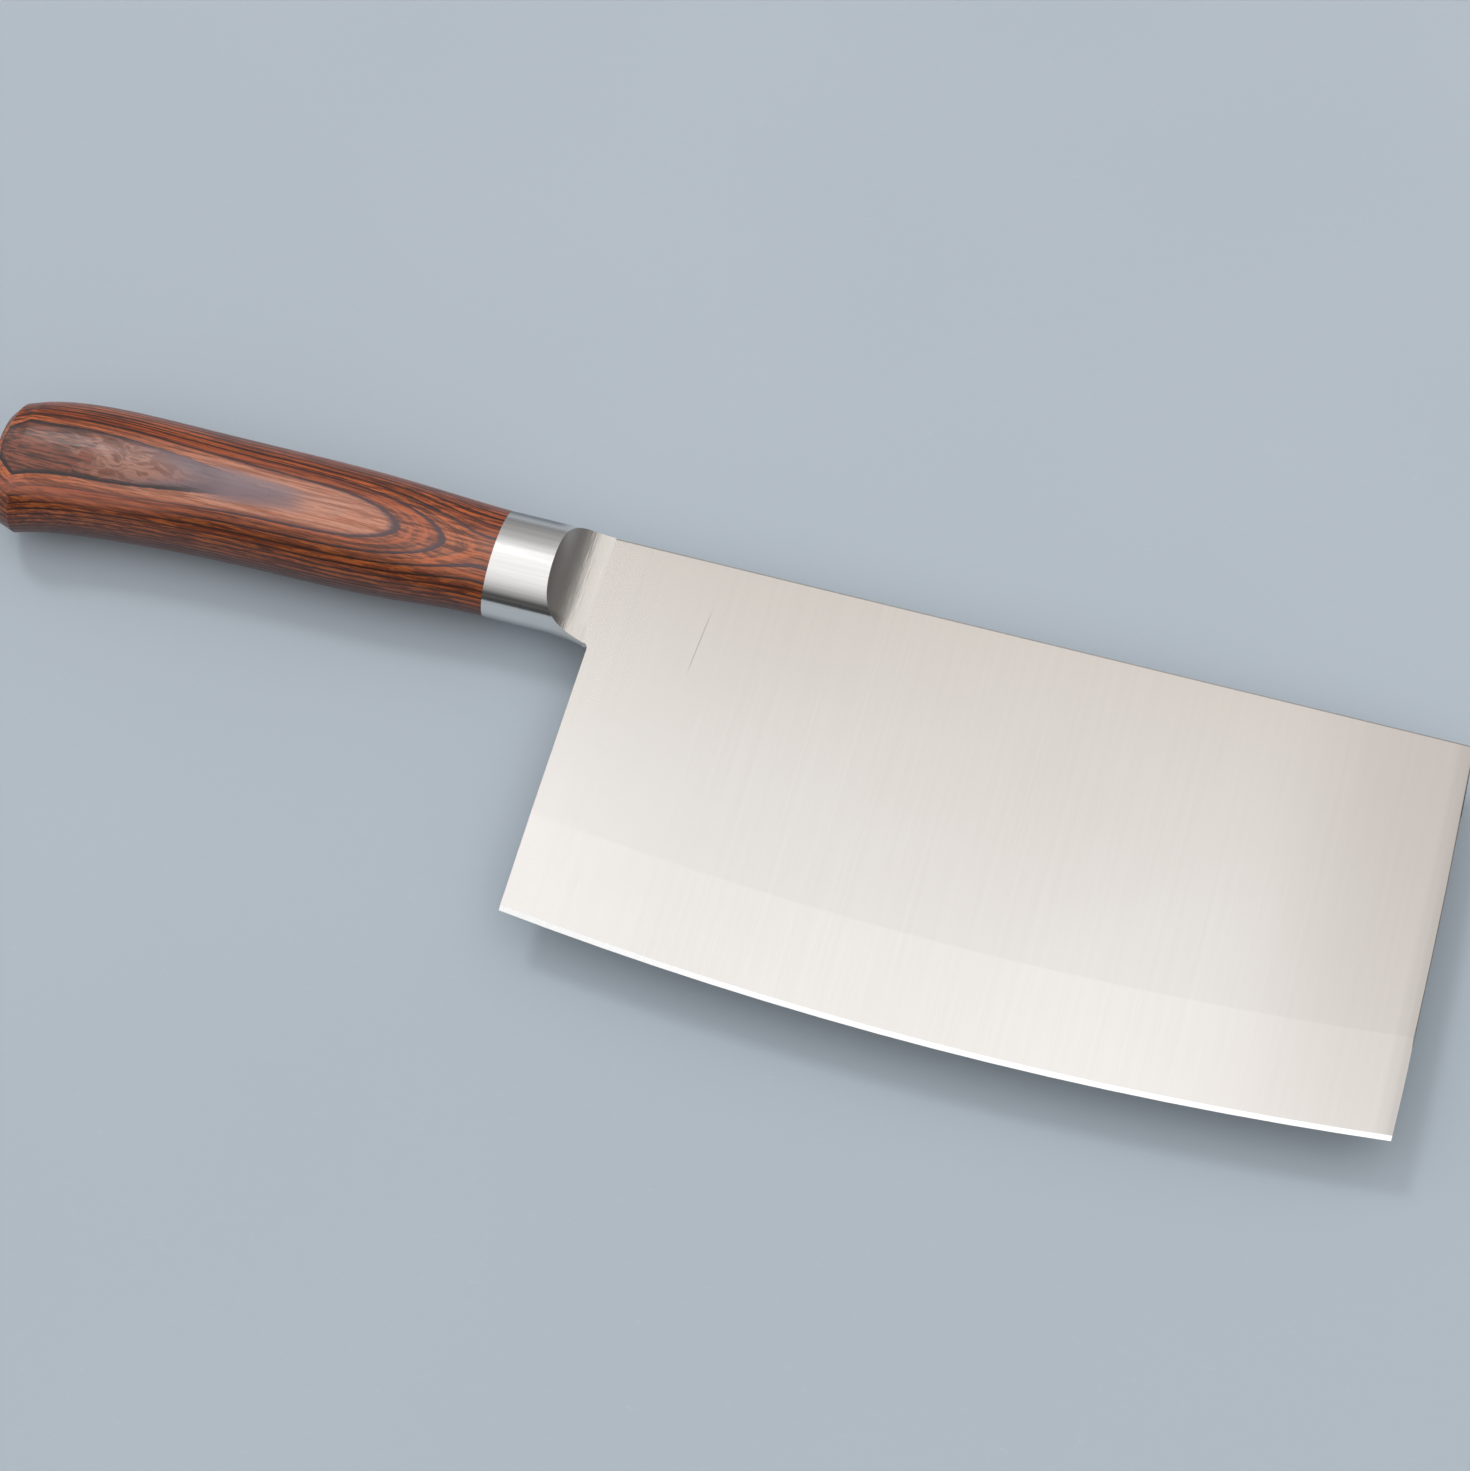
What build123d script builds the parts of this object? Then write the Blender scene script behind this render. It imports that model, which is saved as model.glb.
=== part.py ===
"""Chinese cleaver: a broad three-layer blade, a scooped steel bolster and a laminated wood handle.

Frame: millimetres, the knife lies on its side. +X runs along the knife to the blade's tip side,
+Y across the blade from the cutting edge to the spine, +Z up out of the blade's upper face.
The origin is under the middle of the knife's box, on the surface that it lies on.
"""
from build123d import *
from math import cos, hypot, radians, sin
import os

os.makedirs("parts", exist_ok=True)

# Blade
blade_length = 180.0            # heel side to the middle of the tip side
heel_height = 86.6              # spine to edge, at the heel and at the tip side
belly_depth = 5.2               # the curved edge's drop below its two ends
tip_bulge = 0.5                 # the tip side's crown over its own height
blade_thickness = 2.0
core_thickness = 0.6            # hard middle layer, bare at the cutting bevel
edge_thickness = 0.06           # flat left on a sharpened edge
bevel_height = 1.1              # cutting bevel, measured up the blade
grind_height = 21.5             # thinned zone above the edge
spine_round = 0.55              # rounding of the spine's long corners
tip_ease = 0.4                  # rounding of the tip side's corners
neck_length = 1.5               # blade plate left of the heel side, inside the neck
neck_corner_radius = 1.2        # inner corner between the neck and the heel side
tenon_length = 14.0             # thinned end of the blade plate, inside the bolster
tenon_width = 11.0
tenon_thickness = 1.2

# Bolster
bolster_length = 22.2
bolster_width = 23.9            # spine side to edge side, at the handle
bolster_thickness = 18.0
neck_drop = 1.5                 # how far the neck widens towards the heel
neck_straight = 12.5            # straight length before the neck widens
scoop_radius = 9.6              # hollow grind from the bolster down to the blade's face

# Handle
handle_length = 107.3
butt_thickness = 24.9
butt_drop = 7.2                 # how far the butt flares past the bolster on the edge side
spine_swell = 1.3               # how far the handle rises past the spine
butt_round = 5.0                # rounding of the butt's rim, along the knife and across it
butt_ease = 2.5                 # the same rounding, through the thickness
side_count = 32                 # narrow straight sides over each half of a handle section

# Laminated block
ply_thickness = 1.05
ply_tilt = 9.5                  # degrees that the plies lean towards the edge side
ply_lift = 0.25                 # the stack's middle above the blade's middle plane

# Tang
tang_length = 86.0
tang_width = 9.0
tang_thickness = 3.2
glue_gap = 0.6                  # adhesive all round the tang
glue_end = 2.0                  # adhesive past the end of the tang

# Places that follow from the sizes
overrun = 5.0
blade_height = heel_height + belly_depth
overall_length = blade_length + neck_length + bolster_length + handle_length
tip_x = overall_length / 2
heel_x = tip_x - blade_length
neck_x = heel_x - neck_length
joint_x = neck_x - bolster_length
butt_x = joint_x - handle_length
spine_y = (blade_height - spine_swell) / 2
edge_y = spine_y - blade_height
grip_y = spine_y - bolster_width / 2
axis_z = butt_thickness / 2

# The edge is one long arc, and the grind follows it round the arc's centre
half_length = blade_length / 2
edge_radius = (half_length ** 2 + belly_depth ** 2) / (2 * belly_depth)
edge_middle_x = heel_x + half_length
edge_centre_y = edge_y + edge_radius

# Handle sections, from the bolster to the butt. Each row gives the share of the handle's length,
# then the shares of the swell past the spine, of the drop past the bolster and of the growth in
# thickness that the handle has there.
section_shares = (
    (0.00, 0.00, 0.00, 0.00),
    (0.14, 0.52, 0.09, 0.335),
    (0.27, 0.91, 0.20, 0.67),
    (0.46, 1.00, 0.23, 0.795),
    (0.67, 1.00, 0.33, 0.91),
    (0.83, 0.70, 0.56, 0.98),
    (0.95, -1.10, 0.98, 1.00),
)
# Control points over the upper side of a section, from the spine side to the edge side: shares
# of its half width and of its half thickness. A full oval runs into a crest along the edge side
# and then into the flattened butt.
oval_shares = ((1.0, 0.456), (0.718, 1.371), (-0.718, 1.371), (-1.0, 0.456))
crest_shares = ((1.0, 0.456), (0.718, 1.371), (-0.735, 1.40), (-1.0, 0.47))
late_shares = ((1.0, 0.462), (0.728, 1.452), (-0.72, 1.31), (-1.0, 0.45))
butt_shares = ((1.0, 0.476), (0.747, 1.605), (-0.70, 1.11), (-1.0, 0.44))
shape_rows = (oval_shares,) * 4 + (crest_shares, late_shares, butt_shares)

# Sections round the butt's rim, after the last row above: shares of the rim's length and of the
# butt's rounding
rim_shares = ((0.71, 0.29), (1.0, 0.8))

# The neck's flare: shares of its length and of its drop
neck_shares = ((0.0, 0.0), (0.5, 0.25), (1.0, 1.0))


def section_points(row, shape, rounded_share=0):
    """Control points of one section of the handle: its upper side, then its lower side.

    rounded_share is the share of the butt's rounding by which the section is smaller all round.
    """
    _, swell_share, drop_share, growth_share = row
    top = spine_y + spine_swell * swell_share
    bottom = spine_y - bolster_width - butt_drop * drop_share
    middle = (top + bottom) / 2
    half_width = (top - bottom) / 2 - butt_round * rounded_share
    growth = (butt_thickness - bolster_thickness) * growth_share
    half_thickness = (bolster_thickness + growth) / 2 - butt_ease * rounded_share
    upper = [(middle + half_width, axis_z)]
    for across_share, height_share in shape:
        height = half_thickness * height_share
        upper.append((middle + half_width * across_share, axis_z + height))
    upper.append((middle - half_width, axis_z))
    lower = [(y, 2 * axis_z - z) for y, z in upper]
    return upper, lower


# Outline of the blade plate with its neck, seen from above
with BuildSketch() as blade_outline:
    with BuildLine():
        heel_edge = (heel_x, edge_y + belly_depth)
        tip_edge = (tip_x - tip_bulge, edge_y + belly_depth)
        tip_spine = (tip_x - tip_bulge, spine_y)
        neck_bottom_y = spine_y - bolster_width - neck_drop
        ThreePointArc(heel_edge, (edge_middle_x, edge_y), tip_edge)
        ThreePointArc(tip_edge, (tip_x, (spine_y + edge_y + belly_depth) / 2), tip_spine)
        Polyline(tip_spine, (neck_x, spine_y), (neck_x, neck_bottom_y),
                 (heel_x, neck_bottom_y), heel_edge)
    make_face()
    inner_corner = blade_outline.vertices().group_by(Axis.X)[1].sort_by(Axis.Y)[-1]
    fillet(inner_corner, neck_corner_radius)

# Whole blade: the outline's plate, thinned towards the edge by a profile turned about the
# centre of the edge's arc, with the long corners of its spine and tip side rounded
with BuildPart() as blade_form:
    with BuildSketch(Plane.XY.offset(axis_z - blade_thickness / 2)):
        add(blade_outline.sketch)
    extrude(amount=blade_thickness)
    tip_corners = blade_form.edges().filter_by(GeomType.CIRCLE).group_by(Axis.X)[-1]
    fillet(tip_corners, tip_ease)
    spine_corners = blade_form.edges().filter_by(Axis.X).group_by(Axis.Y)[-1]
    fillet(spine_corners, spine_round)
    with BuildSketch(Plane.YZ.offset(edge_middle_x)):
        with BuildLine():
            upper_side = [(spine_y + overrun, axis_z + blade_thickness / 2),
                          (edge_y + grind_height, axis_z + blade_thickness / 2),
                          (edge_y + bevel_height, axis_z + core_thickness / 2),
                          (edge_y, axis_z + edge_thickness / 2)]
            lower_side = [(y, 2 * axis_z - z) for y, z in reversed(upper_side)]
            Polyline(*upper_side, *lower_side, close=True)
        make_face()
    revolve(axis=Axis((edge_middle_x, edge_centre_y, 0), (0, 0, 1)), mode=Mode.INTERSECT)


def blade_layer(low, high, tenon_high):
    """Cut one layer from the whole blade, with its share of the tenon in the bolster."""
    with BuildPart() as layer:
        add(blade_form.part)
        split(bisect_by=Plane.XY.offset(low), keep=Keep.TOP)
        split(bisect_by=Plane.XY.offset(high), keep=Keep.BOTTOM)
        tenon_low = max(low, axis_z - tenon_thickness / 2)
        with BuildSketch(Plane.XY.offset(tenon_low)):
            with Locations((neck_x, grip_y)):
                Rectangle(tenon_length, tenon_width, align=(Align.MAX, Align.CENTER))
        extrude(amount=tenon_high - tenon_low)
    return layer.part


core_low = axis_z - core_thickness / 2
core_high = axis_z + core_thickness / 2
face_low = axis_z - blade_thickness / 2
face_high = axis_z + blade_thickness / 2
tenon_top = axis_z + tenon_thickness / 2

blade_core = blade_layer(core_low, core_high, core_high)
blade_core.label = "blade_core"
export_step(blade_core, "parts/blade_core.step")

blade_cladding_upper = blade_layer(core_high, face_high, tenon_top)
blade_cladding_upper.label = "blade_cladding_upper"
export_step(blade_cladding_upper, "parts/blade_cladding_upper.step")

blade_cladding_lower = blade_layer(face_low, core_low, core_low)
blade_cladding_lower.label = "blade_cladding_lower"
export_step(blade_cladding_lower, "parts/blade_cladding_lower.step")

# Bolster: an oval collar that widens towards the heel, hollowed on both faces by a round
# wheel whose axis lies across the blade, with a slot for the blade's tenon and the tang
with BuildPart() as bolster:
    flare_x = joint_x + neck_straight
    flare_length = neck_x - flare_x
    with BuildSketch(Plane.YZ.offset(joint_x)):
        with Locations((grip_y, axis_z)):
            Ellipse(bolster_width / 2, bolster_thickness / 2)
    extrude(amount=neck_straight)
    for along_share, drop_share in neck_shares:
        with BuildSketch(Plane.YZ.offset(flare_x + flare_length * along_share)):
            drop = neck_drop * drop_share
            with Locations((grip_y - drop / 2, axis_z)):
                Ellipse((bolster_width + drop) / 2, bolster_thickness / 2)
    loft()
    for side in (-1, 1):
        wheel_z = axis_z + side * (blade_thickness / 2 + scoop_radius)
        with BuildSketch(Plane.XZ.offset(-grip_y)):
            with Locations((neck_x, wheel_z)):
                Circle(scoop_radius)
        extrude(amount=bolster_width, both=True, mode=Mode.SUBTRACT)
    with BuildSketch(Plane.YZ.offset(neck_x)):
        with Locations((grip_y, axis_z)):
            Rectangle(tenon_width, tenon_thickness)
    extrude(amount=-tenon_length, mode=Mode.SUBTRACT)
    with BuildSketch(Plane.YZ.offset(joint_x)):
        with Locations((grip_y, axis_z)):
            Rectangle(tang_width, tang_thickness)
    extrude(amount=bolster_length - tenon_length, mode=Mode.SUBTRACT)
bolster.part.label = "bolster"
export_step(bolster.part, "parts/bolster.step")

# Tang: a flat bar welded to the tenon, bedded in adhesive inside the handle
tang_right_x = neck_x - tenon_length
tang_left_x = joint_x - tang_length
with BuildPart() as tang:
    with BuildSketch(Plane.XY.offset(axis_z - tang_thickness / 2)):
        with Locations((tang_right_x, grip_y)):
            Rectangle(tang_right_x - tang_left_x, tang_width, align=(Align.MAX, Align.CENTER))
    extrude(amount=tang_thickness)
tang.part.label = "tang"
export_step(tang.part, "parts/tang.step")

bed_length = tang_length + glue_end
bed_width = tang_width + 2 * glue_gap
bed_thickness = tang_thickness + 2 * glue_gap
with BuildPart() as tang_adhesive:
    with BuildSketch(Plane.YZ.offset(joint_x)):
        with Locations((grip_y, axis_z)):
            Rectangle(bed_width, bed_thickness)
    extrude(amount=-bed_length)
    with BuildSketch(Plane.YZ.offset(joint_x)):
        with Locations((grip_y, axis_z)):
            Rectangle(tang_width, tang_thickness)
    extrude(amount=-tang_length, mode=Mode.SUBTRACT)
tang_adhesive.part.label = "tang_adhesive"
export_step(tang_adhesive.part, "parts/tang_adhesive.step")

# Handle block: a smooth stretch from the bolster's oval to the flattened, flared butt, then
# narrow bands round the butt's rim, whose sections shrink towards the end. Each section is a
# polygon on its curves, with sides of about a millimetre, which keeps the block's mesh light
body_sections = []
for row, shape in zip(section_shares, shape_rows):
    body_sections.append((joint_x - handle_length * row[0], section_points(row, shape)))
rim_sections = body_sections[-1:]
rim_length = rim_sections[0][0] - butt_x
for along_share, rounded_share in rim_shares:
    rim_x = butt_x + rim_length * (1 - along_share)
    rim_points = section_points(section_shares[-1], shape_rows[-1], rounded_share)
    rim_sections.append((rim_x, rim_points))

with BuildPart() as handle_block:
    for sections, banded in ((body_sections, False), (rim_sections, True)):
        for section_x, (upper, lower) in sections:
            with BuildSketch(Plane.YZ.offset(section_x)):
                with BuildLine():
                    corners = []
                    for curve in (Bezier(*upper, mode=Mode.PRIVATE),
                                  Bezier(*reversed(lower), mode=Mode.PRIVATE)):
                        corners += [curve @ (side / side_count) for side in range(side_count)]
                    Polyline(*corners, close=True)
                make_face()
        loft(ruled=banded)
    with BuildSketch(Plane.YZ.offset(joint_x)):
        with Locations((grip_y, axis_z)):
            Rectangle(bed_width, bed_thickness)
    extrude(amount=-bed_length, mode=Mode.SUBTRACT)

# Plies: the block is built up of glued veneers that lean towards the edge side
tilt = radians(ply_tilt)
butt_width = bolster_width + butt_drop
stack_reach = hypot(butt_thickness / 2 * cos(tilt), butt_width / 2 * sin(tilt))
ply_count = 2 * round(stack_reach / ply_thickness)
sheet_length = handle_length + 2 * overrun
sheet_width = 2 * butt_width


def ply_plane(number):
    """Plane under the ply of that number, counted from the lowest one."""
    height = ply_lift + (number - ply_count / 2) * ply_thickness
    middle_x = (joint_x + butt_x) / 2
    foot = (middle_x, grip_y - height * sin(tilt), axis_z + height * cos(tilt))
    return Plane(origin=foot, x_dir=(1, 0, 0), z_dir=(0, -sin(tilt), cos(tilt)))


for number in range(ply_count):
    reach_below = overrun if number == 0 else 0
    reach_above = overrun if number == ply_count - 1 else 0
    with BuildPart() as handle_ply:
        add(handle_block.part)
        with BuildSketch(ply_plane(number).offset(-reach_below)):
            Rectangle(sheet_length, sheet_width)
        extrude(amount=reach_below + ply_thickness + reach_above, mode=Mode.INTERSECT)
    ply_name = f"handle_ply_{number + 1:02d}"
    handle_ply.part.label = ply_name
    export_step(handle_ply.part, f"parts/{ply_name}.step")
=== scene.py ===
"""Chinese cleaver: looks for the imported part, in the part's own frame, in metres."""

import math

import bmesh
import bpy
from mathutils import Matrix, Vector


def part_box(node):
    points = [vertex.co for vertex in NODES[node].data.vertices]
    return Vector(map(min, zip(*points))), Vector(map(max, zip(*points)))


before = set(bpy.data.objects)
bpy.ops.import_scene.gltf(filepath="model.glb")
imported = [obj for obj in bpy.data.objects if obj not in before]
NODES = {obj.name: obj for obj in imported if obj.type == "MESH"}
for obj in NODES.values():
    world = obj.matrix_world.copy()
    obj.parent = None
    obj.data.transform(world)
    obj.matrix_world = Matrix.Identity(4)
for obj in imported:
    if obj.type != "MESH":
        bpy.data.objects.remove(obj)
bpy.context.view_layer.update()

# Places on the knife that the materials follow. x runs from the butt to the tip side, y from the
# edge to the spine, z up from the floor
tang_low, tang_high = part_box("tang")
GRIP_Y = (tang_low.y + tang_high.y) / 2         # middle of the grip, across the knife
MIDDLE_HEIGHT = (tang_low.z + tang_high.z) / 2  # the blade's middle plane, where the tang lies
BUTT_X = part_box("handle_ply_12")[0].x           # this veneer reaches the butt
TIP_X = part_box("blade_cladding_upper")[1].x
EDGE_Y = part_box("blade_core")[0].y              # the lowest point of the edge's arc

# The edge is one long arc
BLADE_LENGTH = 0.180
BELLY_DEPTH = 0.0052                            # the edge's drop below its two ends
EDGE_RADIUS = ((BLADE_LENGTH / 2) ** 2 + BELLY_DEPTH ** 2) / (2 * BELLY_DEPTH)
EDGE_CENTRE = (TIP_X - BLADE_LENGTH / 2, EDGE_Y + EDGE_RADIUS, 0.0)

# How the handle's veneers are stacked
PLY_PITCH = 0.00105
PLY_LEAN = math.radians(9.5)
PLY_LIFT = 0.00025              # the stack's middle above the blade's middle plane
TOP_SHEET = 11                  # the topmost veneer, counted from the middle one
CROWN_END = TOP_SHEET + 0.9     # the crown stays below the glue line that would come next


# Shader nodes

class Net:
    """A net of shader nodes, written as short calls that return the sockets they make."""

    def __init__(self, node_tree):
        self.nodes = node_tree.nodes
        self.links = node_tree.links
        self.nodes.clear()

    def add(self, kind, **settings):
        """New node of a kind, with its settings."""
        node = self.nodes.new(kind)
        for name, value in settings.items():
            setattr(node, name, value)
        return node

    def feed(self, socket, value):
        """Link a socket, or set a number, place or colour."""
        if isinstance(value, bpy.types.NodeSocket):
            self.links.new(value, socket)
        elif value is not None:
            socket.default_value = value

    def math(self, operation, first, second=None):
        node = self.add("ShaderNodeMath", operation=operation)
        self.feed(node.inputs[0], first)
        self.feed(node.inputs[1], second)
        return node.outputs[0]

    def total(self, *values):
        """Sum of two or more values."""
        result = values[0]
        for value in values[1:]:
            result = self.math("ADD", result, value)
        return result

    def times(self, *values):
        """Product of two or more values."""
        result = values[0]
        for value in values[1:]:
            result = self.math("MULTIPLY", result, value)
        return result

    def vector(self, operation, first, second=None):
        node = self.add("ShaderNodeVectorMath", operation=operation)
        self.feed(node.inputs[0], first)
        self.feed(node.inputs[1], second)
        return node.outputs["Value" if operation in ("DOT_PRODUCT", "LENGTH") else "Vector"]

    def step(self, value, low, high, out_low=0.0, out_high=1.0, smooth=True):
        """Ramp from out_low to out_high while value goes from low to high."""
        kind = "SMOOTHSTEP" if smooth else "LINEAR"
        node = self.add("ShaderNodeMapRange", interpolation_type=kind)
        for socket, number in zip(node.inputs, (value, low, high, out_low, out_high)):
            self.feed(socket, number)
        return node.outputs[0]

    def ease(self, share, first, last):
        """Smooth passage from first to last while share goes from 0 to 1."""
        return self.step(share, 0.0, 1.0, first, last)

    def band(self, value, start, full, end, gone):
        """1 between full and end, 0 before start and after gone."""
        return self.times(self.step(value, start, full), self.step(value, end, gone, 1.0, 0.0))

    def noise(self, place, stretch, detail, rough, twist=0.0):
        """Noise between 0 and 1, with the place stretched by its own number along each axis."""
        node = self.add("ShaderNodeTexNoise")
        self.feed(node.inputs["Vector"], self.vector("MULTIPLY", place, stretch))
        self.feed(node.inputs["Scale"], 1.0)
        self.feed(node.inputs["Detail"], detail)
        self.feed(node.inputs["Roughness"], rough)
        self.feed(node.inputs["Distortion"], twist)
        return node.outputs["Fac"]

    def swing(self, noise, reach):
        """Noise turned into a swing about zero, over the whole of reach."""
        return self.times(self.math("SUBTRACT", noise, 0.5), reach)

    def mix(self, share, first, second):
        """Colour that goes from first to second while share goes from 0 to 1."""
        node = self.add("ShaderNodeMix", data_type="RGBA")
        self.feed(node.inputs["Factor"], share)
        self.feed(node.inputs["A"], first)
        self.feed(node.inputs["B"], second)
        return node.outputs["Result"]

    def place(self):
        return self.add("ShaderNodeTexCoord").outputs["Object"]

    def axes(self, place):
        node = self.add("ShaderNodeSeparateXYZ")
        self.feed(node.inputs[0], place)
        return node.outputs

    def point(self, x, y, z):
        node = self.add("ShaderNodeCombineXYZ")
        for socket, value in zip(node.inputs, (x, y, z)):
            self.feed(socket, value)
        return node.outputs[0]

    def bump(self, height, strength, distance):
        node = self.add("ShaderNodeBump")
        self.feed(node.inputs["Strength"], strength)
        self.feed(node.inputs["Distance"], distance)
        self.feed(node.inputs["Height"], height)
        return node.outputs[0]

    def levels(self, value, stops):
        """Straight runs between stops of (value, level), with the levels between 0 and 1."""
        low, high = stops[0][0], stops[-1][0]
        node = self.add("ShaderNodeValToRGB")
        elements = node.color_ramp.elements
        while len(elements) < len(stops):
            elements.new(0.5)
        for element, (at, level) in zip(elements, stops):
            element.position = (at - low) / (high - low)
            element.color = grey(level)
        self.feed(node.inputs[0], self.step(value, low, high, smooth=False))
        return node.outputs["Color"]

    def surface(self, **sockets):
        """Principled surface wired to the output. Sockets are given with underscores for spaces."""
        surface = self.add("ShaderNodeBsdfPrincipled")
        output = self.add("ShaderNodeOutputMaterial")
        for name, value in sockets.items():
            self.feed(surface.inputs[name.replace("_", " ")], value)
        self.links.new(surface.outputs[0], output.inputs["Surface"])


def linear(red, green, blue):
    """Colour as it is seen, 0 to 255, turned into the renderer's own numbers."""
    def turn(value):
        share = value / 255
        return share / 12.92 if share <= 0.04045 else ((share + 0.055) / 1.055) ** 2.4
    return (turn(red), turn(green), turn(blue), 1.0)


def grey(level):
    return (level, level, level, 1.0)


def new_material(name):
    material = bpy.data.materials.new(name)
    material.use_nodes = True
    return material, Net(material.node_tree)


# Steel of the blade and the bolster

def blade_steel():
    """Satin steel, ground with fine lines across the blade, from spine to edge."""
    # Painted reflection: the blade's tones by the spine and by the edge stand in for how the studio
    # mirrors in it
    reflection_by_spine, reflection_by_edge = linear(224, 217, 210), linear(240, 236, 232)
    grind_highlight, in_cloud = linear(241, 238, 235), linear(212, 200, 190)
    tip_shade, tip_end_shade = linear(208, 200, 194), linear(176, 170, 167)
    in_line, in_scratch = linear(150, 144, 138), linear(150, 143, 138)
    painted_light_y = (0.046, -0.022)        # painted reflection: from the darker tone by the spine to the brighter tone by the edge
    grind_rise = (0.034, 0.012)     # distance from the edge over which the thinned zone begins
    grind_wander = 0.006
    tip_shade_x = (0.112, 0.150)
    tip_shade_y = (-0.045, 0.045)        # edge to spine
    tip_end_width = 0.005
    tip_end_wander = 0.004
    line_depth = 0.00002

    material, net = new_material("blade_satin_steel")
    place = net.place()
    x, y = net.axes(place)[:2]
    fine = net.noise(place, (4600, 40, 40), detail=2.0, rough=0.6)
    broad = net.noise(place, (700, 7, 7), detail=3.0, rough=0.55)
    cloud = net.noise(place, (22, 22, 22), detail=2.0, rough=0.5)
    lines = net.total(net.times(fine, 0.5), net.times(broad, 0.5))

    # Painted reflection: the thinned zone above the edge is a little brighter. Painted shade: the tip
    # side is duller, and the tip's end darker
    from_centre = net.vector("SUBTRACT", net.point(x, y, 0.0), EDGE_CENTRE)
    rise = net.math("SUBTRACT", EDGE_RADIUS, net.vector("LENGTH", from_centre))
    colour = net.mix(net.step(y, *painted_light_y, smooth=False), reflection_by_spine, reflection_by_edge)
    grind = net.step(net.total(rise, net.swing(cloud, grind_wander)), *grind_rise)
    colour = net.mix(net.times(grind, 0.2), colour, grind_highlight)
    # Painted shade: the blade darkens toward the tip
    tip_shading = net.times(net.step(x, *tip_shade_x), net.step(y, *tip_shade_y, 0.5, 0.8))
    colour = net.mix(tip_shading, colour, tip_shade)
    # Painted shade: a darker band along the tip's end
    tip_end_shading = net.step(net.total(x, net.swing(broad, tip_end_wander)), TIP_X - tip_end_width, TIP_X)
    colour = net.mix(net.times(tip_end_shading, 0.5), colour, tip_end_shade)
    colour = net.mix(net.step(lines, 0.38, 0.62, 0.03, 0.0), colour, in_line)
    colour = net.mix(net.step(cloud, 0.4, 0.7, 0.0, 0.1), colour, in_cloud)
    colour = net.mix(net.times(scratch(net, x, y), 0.35), colour, in_scratch)

    net.surface(Base_Color=colour, Metallic=1.0, Roughness=net.step(lines, 0.3, 0.7, 0.184, 0.18),
                Anisotropic=0.2, Tangent=net.point(1.0, 0.0, 0.0),
                Normal=net.bump(lines, strength=0.01, distance=line_depth))
    return material


def scratch(net, x, y):
    """1 in the one long scratch near the heel, which leans and fades at both ends."""
    start_x = -0.00315
    drift = 0.00125                 # how far it leans over its length
    length_y = (0.0170, 0.0360)
    fade_y = (0.0175, 0.022, 0.030, 0.0352)
    half_width = (0.00005, 0.00016)
    line_x = net.total(start_x, net.times(net.step(y, *length_y, smooth=False), drift))
    off = net.math("ABSOLUTE", net.math("SUBTRACT", x, line_x))
    return net.times(net.step(off, *half_width, 1.0, 0.0), net.band(y, *fade_y))


def edge_steel():
    """Honed steel of the cutting bevel."""
    low, high = linear(228, 228, 228), linear(246, 246, 245)
    line_depth = 0.00002
    material, net = new_material("edge_honed_steel")
    lines = net.noise(net.place(), (2600, 300, 300), detail=2.0, rough=0.6)
    net.surface(Base_Color=net.mix(lines, low, high), Metallic=1.0,
                Roughness=net.step(lines, 0.3, 0.7, 0.2, 0.3),
                Normal=net.bump(lines, strength=0.1, distance=line_depth))
    return material


def bolster_steel():
    """Polished collar, with the coarser lines of the wheel inside its two hollows, and painted shade
    on its spine side and at the hollows' steep end.
    """
    low, high, spine_side_shade = linear(226, 224, 222), linear(231, 230, 228), linear(134, 130, 137)
    in_hollow, steep_end_shade = linear(228, 222, 215), linear(186, 180, 175)
    spine_side_y, spine_side_x = (0.0412, 0.0434), (-0.034, -0.038)
    edge_side_y = (0.0245, 0.0228)
    strip_x = (-0.034, -0.030)      # where the hollows have run down to the flat strip
    line_depth = 0.00005

    material, net = new_material("bolster_polished_steel")
    place = net.place()
    x, y = net.axes(place)[:2]
    facing = net.axes(net.add("ShaderNodeNewGeometry").outputs["Normal"])[0]
    collar = net.noise(place, (30, 1400, 1400), detail=2.0, rough=0.6)
    wheel = net.noise(place, (3000, 150, 3000), detail=3.0, rough=0.7)

    # Only the hollows face the tip. The wheel dwells at their steep end and leaves it rougher, and the
    # darker colour there is painted shade
    hollow = net.step(facing, 0.03, 0.12)
    steep = net.step(net.total(facing, net.swing(wheel, 0.9)), 0.30, 0.55)
    spine_side = net.times(net.step(y, *spine_side_y), net.step(x, *spine_side_x))
    edge_side = net.step(y, *edge_side_y)
    # The last flat strip was finished together with the blade
    strip = net.times(net.step(x, *strip_x), net.step(facing, 0.02, 0.16, 1.0, 0.0))

    lines = net.mix(hollow, collar, wheel)
    colour = net.mix(net.step(lines, 0.35, 0.65), low, high)
    colour = net.mix(net.math("MAXIMUM", strip, hollow), colour, in_hollow)
    # Painted shade: the collar's spine side is darker
    colour = net.mix(net.times(spine_side, 0.9), colour, spine_side_shade)
    # Painted shade at the hollows' steep end
    colour = net.mix(net.times(steep, 0.9), colour, steep_end_shade)
    rough = net.total(net.ease(edge_side, 0.25, 0.14), net.times(spine_side, 0.1),
                      net.times(steep, 0.16), net.times(strip, -0.03))
    net.surface(Base_Color=colour, Metallic=1.0, Roughness=rough,
                Normal=net.bump(lines, strength=net.ease(hollow, 0.01, 0.9), distance=line_depth))
    return material


# Wood of the handle

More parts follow.
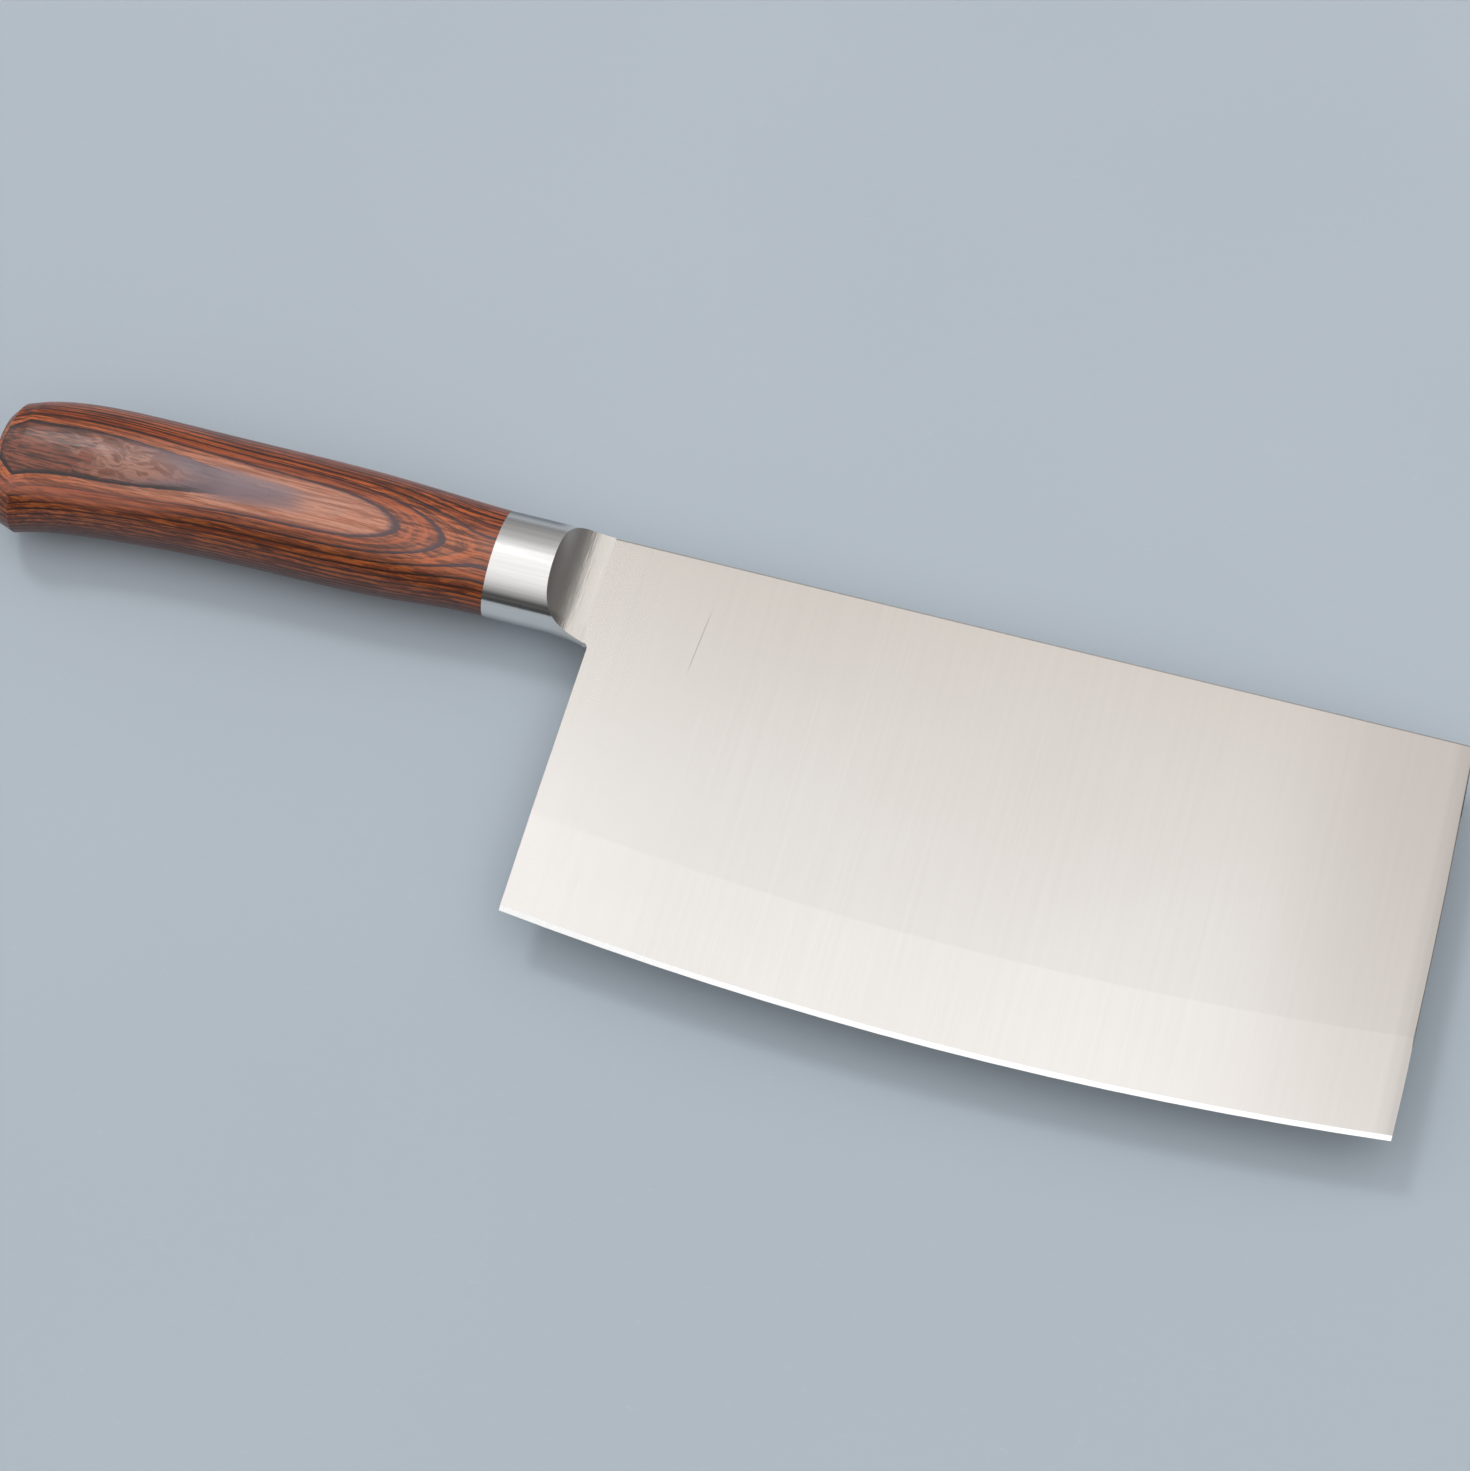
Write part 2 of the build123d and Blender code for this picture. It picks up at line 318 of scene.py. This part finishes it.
class VeneerWood:
    """Resin-filled veneers. Their glue lines lie on planes that lean to the edge side."""

    def __init__(self):
        self.material, self.net = new_material("laminated_wood")
        self.place = self.net.place()
        self.x, self.y, self.z = self.net.axes(self.place)
        self.find_sheets()
        self.find_sides()
        self.grow_grain()

    def find_sheets(self):
        """Which veneer a point is in, and how far it is above and below a glue line."""
        wave_reach, fibre_reach = 0.00013, 0.00014
        lot_start = 40.37

        net = self.net
        height = net.math("SUBTRACT", self.z, MIDDLE_HEIGHT)
        across = net.math("SUBTRACT", self.y, GRIP_Y)
        self.stack = net.math("SUBTRACT", net.times(height, math.cos(PLY_LEAN)),
                              net.times(across, math.sin(PLY_LEAN)))

        # Glue lines sway a little, with torn fibres along them
        self.waves = net.noise(self.place, (45, 220, 220), detail=3.0, rough=0.6)
        fibres = net.noise(self.place, (420, 2600, 2600), detail=2.0, rough=0.6)
        sway = net.total(net.swing(self.waves, wave_reach), net.swing(fibres, fibre_reach))
        swayed = net.total(net.math("SUBTRACT", self.stack, PLY_LIFT), sway)
        self.rank = net.math("MINIMUM", net.math("DIVIDE", swayed, PLY_PITCH), CROWN_END)
        self.above = net.math("FRACT", self.rank)
        self.below = net.math("SUBTRACT", 1.0, self.above)

        sheet = net.math("FLOOR", self.rank)
        self.crown = net.math("GREATER_THAN", sheet, TOP_SHEET - 0.5)
        self.top_two = net.math("GREATER_THAN", sheet, TOP_SHEET - 1.5)
        # Each veneer draws one number, for its tone and for the place of its grain
        chance = net.add("ShaderNodeTexWhiteNoise", noise_dimensions="1D")
        net.feed(chance.inputs["W"], net.total(sheet, lot_start))
        self.lot = chance.outputs["Value"]

    def find_sides(self):
        """Where a point lies on the handle's rounding."""
        middle_x, middle_y = (BUTT_X, -0.105), (0.0288, 0.0332)
        half_x, half_width = (BUTT_X, -0.048), (0.0150, 0.0120)
        upper_z, under_z = (0.015, 0.019), (0.0160, 0.0115)
        crown_sheen_x = (-0.150, -0.118)
        edge_side_z = (0.009, 0.012)

        net = self.net
        middle = net.step(self.x, *middle_x, *middle_y, smooth=False)
        half = net.step(self.x, *half_x, *half_width, smooth=False)
        # From -1 at the edge side to 1 at the spine side
        self.side = net.math("DIVIDE", net.math("SUBTRACT", self.y, middle), half)
        self.upper = net.step(self.z, *upper_z)
        self.under = net.step(self.z, *under_z)
        # Where a sheen is painted: along the crown's middle, weaker toward the butt
        self.crown_sheen = net.times(net.band(self.side, -0.8, -0.45, 0.0, 0.55), self.upper,
                              net.step(self.x, *crown_sheen_x, 0.25, 1.0))
        self.edge_side = net.times(net.step(self.side, -0.55, -0.75), net.step(self.z, *edge_side_z))

    def grow_grain(self):
        """Growth rings that lie in the stack, and fibres, all drawn out along the knife."""
        slide = 0.4                 # how far along the grain two veneers can be from each other

        net = self.net
        along = net.total(self.x, net.times(self.lot, slide))
        in_sheet = net.point(along, self.y, self.stack)
        drawn = net.point(along, self.y, self.z)
        rings = net.noise(in_sheet, (26, 190, 5600), detail=4.0, rough=0.62, twist=0.35)
        self.streaks = net.noise(drawn, (60, 1500, 1500), detail=3.0, rough=0.6, twist=0.2)
        self.grain = net.total(net.times(rings, 0.55), net.times(self.streaks, 0.45))
        self.pores = net.noise(drawn, (330, 4300, 4300), detail=2.0, rough=0.55)
        self.flecks = net.noise(drawn, (150, 1900, 1900), detail=2.0, rough=0.5, twist=0.4)
        self.blotch = net.noise(self.place, (34, 95, 95), detail=2.0, rough=0.5, twist=0.8)
        self.swirl = net.noise(self.place, (190, 420, 420), detail=3.0, rough=0.6, twist=1.6)

    def body(self):
        """Orange wood with dark rings, painted shade on the underside, and a pale painted sheen along
        the crown.
        """
        dark, blot, shade = linear(64, 25, 14), linear(116, 48, 28), linear(84, 48, 42)
        orange, red = linear(210, 106, 46), linear(180, 82, 36)
        gold_dark, gold = linear(92, 40, 17), linear(168, 88, 34)
        pale_dark, pale = linear(176, 110, 84), linear(212, 154, 130)

        net = self.net
        wood = net.mix(net.step(self.grain, 0.41, 0.57), dark, net.mix(self.lot, orange, red))
        wood = net.mix(net.step(self.blotch, 0.42, 0.72, 0.0, 0.4), wood, blot)
        # Thin golden flecks on the steep edge side, and painted shade on the underside
        flecked = net.mix(net.step(self.flecks, 0.42, 0.62), gold_dark, gold)
        wood = net.mix(net.times(self.edge_side, 0.75), wood, flecked)
        wood = net.mix(net.times(self.under, 0.8), wood, shade)
        # Painted sheen: paler colour along the crown
        painted_sheen = net.mix(net.step(self.streaks, 0.36, 0.64), pale_dark, pale)
        return net.mix(net.times(self.crown_sheen, net.ease(self.top_two, 0.25, 0.8)), wood, painted_sheen)

    def crown_streaks_and_sheen(self, wood):
        """The topmost veneer is brown and streaked at the butt, with a pale painted sheen, mottled by
        swirls, further on.
        """
        streak_dark, streak = linear(74, 38, 28), linear(140, 74, 50)
        sheen_dark_tone, sheen_light_tone = linear(132, 84, 68), linear(172, 122, 104)
        sheen_start_x = (-0.143, -0.124)
        sheen_wander = 0.03

        net = self.net
        streaked = net.total(net.times(self.streaks, 0.5), net.times(self.flecks, 0.5))
        plain = net.mix(net.step(streaked, 0.42, 0.58), streak_dark, streak)
        # Painted sheen on the topmost veneer toward the tip
        sheened = net.mix(net.step(self.swirl, 0.42, 0.58), sheen_dark_tone, sheen_light_tone)
        toward_tip = net.step(net.total(self.x, net.swing(self.swirl, sheen_wander)), *sheen_start_x)
        share = net.times(toward_tip, net.step(self.side, -0.75, -0.1))
        return net.mix(self.crown, wood, net.mix(share, plain, sheened))

    def pores_and_glue(self, wood):
        """Dark pores, and resin that darkens each veneer at a glue line, softer and greyer under the
        painted sheen.
        """
        pore_brown = linear(52, 24, 18)
        steep_glue, sheened_glue = linear(32, 15, 12), linear(84, 62, 68)

        net = self.net
        in_pore = net.step(self.pores, 0.33, 0.46, net.ease(self.crown_sheen, 0.7, 0.25), 0.0)
        wood = net.mix(in_pore, wood, pore_brown)
        # Painted sheen: the glue is greyer along the crown
        glue = net.mix(self.crown_sheen, steep_glue, sheened_glue)
        depth = net.total(net.times(self.waves, 0.2), net.ease(self.crown_sheen, 0.34, 0.16))
        soaked = net.step(net.math("DIVIDE", self.above, depth), 0.15, 1.0, 0.85, 0.0)
        wood = net.mix(soaked, wood, glue)
        wood = net.mix(net.step(self.above, 0.05, 0.13, 0.9, 0.0), wood, glue)
        return net.mix(net.step(self.below, 0.02, 0.05, 0.9, 0.0), wood, glue)

    def crown_rim(self, wood):
        """Where the topmost veneer runs out: a grey-blue tip, which is dark glue under a painted
        sheen, and a near-black border.
        """
        tip_glue_sheen, melt_glue_sheen = linear(126, 106, 112), linear(132, 108, 112)
        border_black = linear(38, 26, 26)
        tip_x = (-0.134, -0.112)
        melt_start_x, melt_end_x = (-0.114, -0.103), (-0.085, -0.094)
        border_x = (-0.104, -0.118)

        net = self.net
        ragged = net.total(self.above, net.times(self.waves, 0.3))
        tip = net.times(self.crown, net.step(ragged, 0.36, 0.75, 0.92, 0.0), net.step(self.x, *tip_x))
        wood = net.mix(tip, wood, tip_glue_sheen)
        # The tip melts into the next veneer, where the cut between them is shallowest. Its grey is
        # dark glue under a painted sheen
        off = net.math("ABSOLUTE", net.math("SUBTRACT", self.rank, TOP_SHEET))
        melt = net.times(self.top_two, net.step(off, 0.1, 0.42, 1.0, 0.0),
                         net.step(self.x, *melt_start_x), net.step(self.x, *melt_end_x))
        wood = net.mix(net.times(melt, 0.85), wood, melt_glue_sheen)
        torn = net.total(self.above, net.times(self.flecks, 0.35))
        border = net.times(self.crown, net.step(torn, 0.52, 0.26), net.step(self.side, 0.1, -0.1),
                           net.step(self.x, *border_x))
        return net.mix(net.times(border, 0.92), wood, border_black)

    def crest(self, wood):
        """The crest along the edge side, near the butt, gets a pinkish painted highlight."""
        painted_crest_highlight = linear(190, 118, 98)
        crest_x = (-0.104, -0.130)

        net = self.net
        share = net.times(net.band(self.side, -0.78, -0.68, -0.62, -0.50), self.upper,
                          net.step(self.x, *crest_x), net.step(self.streaks, 0.3, 0.7, 0.3, 0.6))
        return net.mix(share, wood, painted_crest_highlight)

    def finish(self):
        """The wood with all its layers, under a satin lacquer that dips into the pores."""
        dip_depth = 0.00004

        net = self.net
        wood = self.body()
        for layer in (self.crown_streaks_and_sheen, self.pores_and_glue, self.crown_rim, self.crest):
            wood = layer(wood)
        relief = net.total(net.times(self.grain, 0.5), self.pores)
        net.surface(Base_Color=wood, Roughness=net.step(self.pores, 0.3, 0.6, 0.38, 0.30),
                    Specular_IOR_Level=0.6, Normal=net.bump(relief, strength=0.12, distance=dip_depth))
        return self.material


# What is sealed inside the handle, and the floor

def sealed_stock(name, colour, metallic):
    """Plain rough stock, for the tang and what beds it."""
    material, net = new_material(name)
    speckle = net.noise(net.place(), (900, 900, 900), detail=2.0, rough=0.5)
    darker = tuple(0.8 * value for value in colour[:3]) + (1.0,)
    net.surface(Base_Color=net.mix(speckle, colour, darker), Metallic=metallic,
                Roughness=net.step(speckle, 0.3, 0.7, 0.5, 0.6))
    return material


def floor_paint():
    """Pale blue-grey board with faint flecks, and painted light that makes it a little paler toward
    the far side.
    """
    near, far = linear(185, 196, 205), linear(190, 200, 209)
    in_patch, in_fleck = linear(176, 188, 199), linear(202, 212, 221)
    painted_light_y = (-0.16, 0.13)          # painted light, from near to far

    material, net = new_material("floor_pale_board")
    place = net.place()
    fleck = net.noise(place, (300, 900, 1), detail=3.0, rough=0.6)
    patch = net.noise(place, (6, 6, 6), detail=2.0, rough=0.5)
    colour = net.mix(net.step(net.axes(place)[1], *painted_light_y), near, far)
    colour = net.mix(net.step(patch, 0.3, 0.7, 0.0, 0.2), colour, in_patch)
    colour = net.mix(net.step(fleck, 0.62, 0.75, 0.0, 0.2), colour, in_fleck)
    net.surface(Base_Color=colour, Roughness=0.85, Specular_IOR_Level=0.2)
    return material


# The knife gets its materials

def dress(name, material):
    """Give a node of the part one material."""
    mesh = NODES[name].data
    mesh.materials.clear()
    mesh.materials.append(material)


blade = blade_steel()
dress("blade_cladding_upper", blade)
dress("blade_cladding_lower", blade)
dress("blade_core", edge_steel())
dress("bolster", bolster_steel())
veneers = VeneerWood().finish()
for name in sorted(NODES):
    if name.startswith("handle_ply_"):
        dress(name, veneers)
dress("tang", sealed_stock("tang_plain_steel", linear(150, 150, 150), metallic=1.0))
dress("tang_adhesive", sealed_stock("tang_adhesive_resin", linear(120, 104, 84), metallic=0.0))


# Floor

FLOOR_HALF = 3.0
FLOOR_HEIGHT = -0.00005         # a hair below the lowest wood

floor_mesh = bpy.data.meshes.new("floor")
floor = bpy.data.objects.new("floor", floor_mesh)
bpy.context.scene.collection.objects.link(floor)
grid = bmesh.new()
bmesh.ops.create_grid(grid, x_segments=1, y_segments=1, size=FLOOR_HALF,
                      matrix=Matrix.Translation((0, 0, FLOOR_HEIGHT)))
grid.to_mesh(floor_mesh)
grid.free()
floor_mesh.materials.append(floor_paint())


# Light. It comes from the world alone, so it is written as a brightness for each direction. A
# direction leans from straight up to the viewer's side, and turns to the tip's side, in degrees

# Brightness by lean: a broad soft panel overhead, a dim wall behind, and in front a dark table
# edge with one paler gap in it
STUDIO = (
    (-180, 0.34), (-91, 0.34), (-89, 0.17), (-66, 0.35), (-52, 0.40), (-32, 0.64), (-29, 0.66),
    (-18, 0.72), (-11, 0.92), (-4, 1.0), (22, 0.99), (33, 0.76), (51, 0.45), (60, 0.18), (65, 0.06),
    (70, 0.05), (75, 0.12), (80, 0.05), (89, 0.04), (91, 0.34), (180, 0.34))
STUDIO_TOP = 1.34               # brightness of the panel's brightest part

# The table edge ends a little way to each side, with a pale wall beyond it
WALL_TURN, WALL_LEAN = (20.0, 32.0), (35.0, 55.0)
WALL_LEVEL = 0.5

# The panel ends on the tip's side, except toward the viewer, and is weaker on the butt's side
PAST_TIP_TURN, PAST_TIP_LEAN = (31.0, 47.0), (38.0, 8.0)
PAST_TIP_SHARE = 0.2
BUTT_TURN = (-14.0, -3.0)
BUTT_SHARE = 0.77

# A lamp beyond the butt on the spine side, with a soft rim
LAMP_AIM = Vector((-0.43, 0.36, 0.83)).normalized()
LAMP_LEVEL = 15.0
LAMP_RIM = math.cos(math.radians(8))
LAMP_CORE = math.cos(math.radians(3))

PAST_FLOOR = linear(184, 195, 206)


def studio_light(net, direction):
    """Brightness of the studio in each direction, as it falls on the knife and the floor."""
    east, north, up = net.axes(direction)
    lean = net.math("DEGREES", net.math("ARCTAN2", net.times(north, -1.0), up))
    turn = net.math("DEGREES", net.math("ARCSINE", east))
    panel = net.levels(lean, STUDIO)
    wall = net.times(net.step(net.math("ABSOLUTE", turn), *WALL_TURN), net.step(lean, *WALL_LEAN))
    panel = net.times(net.mix(wall, panel, grey(WALL_LEVEL)), STUDIO_TOP)
    past_tip = net.times(net.step(turn, *PAST_TIP_TURN), net.step(lean, *PAST_TIP_LEAN))
    panel = net.times(panel, net.step(past_tip, 0.0, 1.0, 1.0, PAST_TIP_SHARE, smooth=False),
                      net.step(turn, *BUTT_TURN, BUTT_SHARE, 1.0))
    facing_lamp = net.vector("DOT_PRODUCT", direction, tuple(LAMP_AIM))
    return net.mix(net.step(facing_lamp, LAMP_RIM, LAMP_CORE), panel, grey(LAMP_LEVEL))


def light_studio():
    """World that lights the scene, and shows the camera a plain pale tone past the floor."""
    world = bpy.data.worlds.new("studio")
    bpy.context.scene.world = world
    world.use_nodes = True
    net = Net(world.node_tree)
    studio = net.add("ShaderNodeBackground")
    direction = net.add("ShaderNodeTexCoord").outputs["Generated"]
    net.feed(studio.inputs["Color"], studio_light(net, direction))
    past_floor = net.add("ShaderNodeBackground")
    net.feed(past_floor.inputs["Color"], PAST_FLOOR)
    choose = net.add("ShaderNodeMixShader")
    net.feed(choose.inputs[0], net.add("ShaderNodeLightPath").outputs["Is Camera Ray"])
    net.feed(choose.inputs[1], studio.outputs[0])
    net.feed(choose.inputs[2], past_floor.outputs[0])
    net.feed(net.add("ShaderNodeOutputWorld").inputs["Surface"], choose.outputs[0])


light_studio()


# Camera. It stands where the photo was taken from, and right is along the picture's rows

CAMERA_PLACE = Vector((0.102665, -0.280310, 0.640587))
CAMERA_RIGHT = Vector((0.9617, 0.2737, -0.0159))
CAMERA_AHEAD = Vector((-0.1326, 0.4137, -0.9007))

camera_data = bpy.data.cameras.new("camera")
camera_data.sensor_width = 36.0
camera_data.lens = 83.99
camera_data.clip_start = 0.01
camera_data.clip_end = 20.0
camera = bpy.data.objects.new("camera", camera_data)
bpy.context.scene.collection.objects.link(camera)
ahead = CAMERA_AHEAD.normalized()
right = CAMERA_RIGHT.normalized()
right = (right - ahead * right.dot(ahead)).normalized()
stance = Matrix((right, right.cross(ahead), -ahead)).transposed().to_4x4()
camera.matrix_world = Matrix.Translation(CAMERA_PLACE) @ stance
bpy.context.scene.camera = camera

bpy.context.scene.view_settings.view_transform = "Standard"
